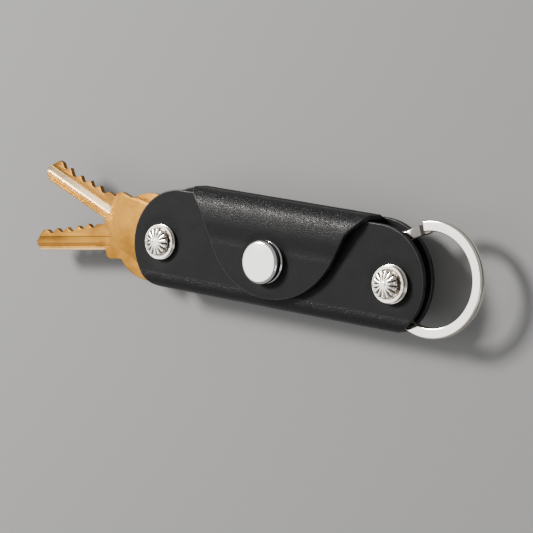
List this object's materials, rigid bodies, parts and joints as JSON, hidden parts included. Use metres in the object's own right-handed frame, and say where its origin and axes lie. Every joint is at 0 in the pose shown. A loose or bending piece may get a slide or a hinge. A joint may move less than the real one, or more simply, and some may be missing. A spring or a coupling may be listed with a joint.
{
  "type": "leather key organiser",
  "caption": "Folded leather case that clamps keys on a screw post at one end and holds a split ring on the other, closed by a snap flap.",
  "frame": {"origin": "on the back panel's outer face, midway between the two posts", "axes": "+X from the key end to the ring end, +Y from the bottom fold to the flap's fold, +Z out of the front panel, along the posts"},
  "size_m": [0.1777, 0.0361, 0.0176],
  "materials": {
    "black_leather": "matt black smooth-grained leather with dark fibrous cut edges",
    "key_brass": "satin brass, brighter in the milled grooves and cuts",
    "bright_nickel": "polished nickel plate",
    "plated_brass": "pale plated brass, inside the snap"
  },
  "bodies": {
    "case": {"front_ring_spacer": "bright_nickel", "key_washer": "bright_nickel", "leather_body": "black_leather", "left_base_washer": "bright_nickel", "left_cup_washer": "bright_nickel", "left_post_barrel": "bright_nickel", "left_rear_washer": "bright_nickel", "left_star_screw": "bright_nickel", "rear_ring_spacer": "bright_nickel", "right_base_washer": "bright_nickel", "right_cup_washer": "bright_nickel", "right_post_barrel": "bright_nickel", "right_rear_washer": "bright_nickel", "right_star_screw": "bright_nickel", "snap_eyelet": "plated_brass", "snap_stud": "plated_brass"},
    "flap": {"leather_flap": "black_leather", "snap_cap": "bright_nickel", "snap_socket": "plated_brass"},
    "upper_key": {"upper_key": "key_brass"},
    "lower_key": {"lower_key": "key_brass"},
    "ring": {"split_ring": "bright_nickel"}
  },
  "joints": [
    {"name": "flap_fold", "type": "hinge", "parent": "case", "child": "flap", "pos_m": [0, 0.0178, 0.0009], "axis": [-1, 0, 0], "range_deg": [0, 130]},
    {"name": "upper_key_pivot", "type": "hinge", "parent": "case", "child": "upper_key", "pos_m": [-0.045, 0, 0.00615], "axis": [0, 0, 1], "range_deg": [-82, 15]},
    {"name": "lower_key_pivot", "type": "hinge", "parent": "case", "child": "lower_key", "pos_m": [-0.045, 0, 0.00305], "axis": [0, 0, 1], "range_deg": [-85, 4]},
    {"name": "ring_swing", "type": "hinge", "parent": "case", "child": "ring", "pos_m": [0.045, 0, 0.0046], "axis": [0, 0, 1], "range_deg": [0, 47]}
  ]
}
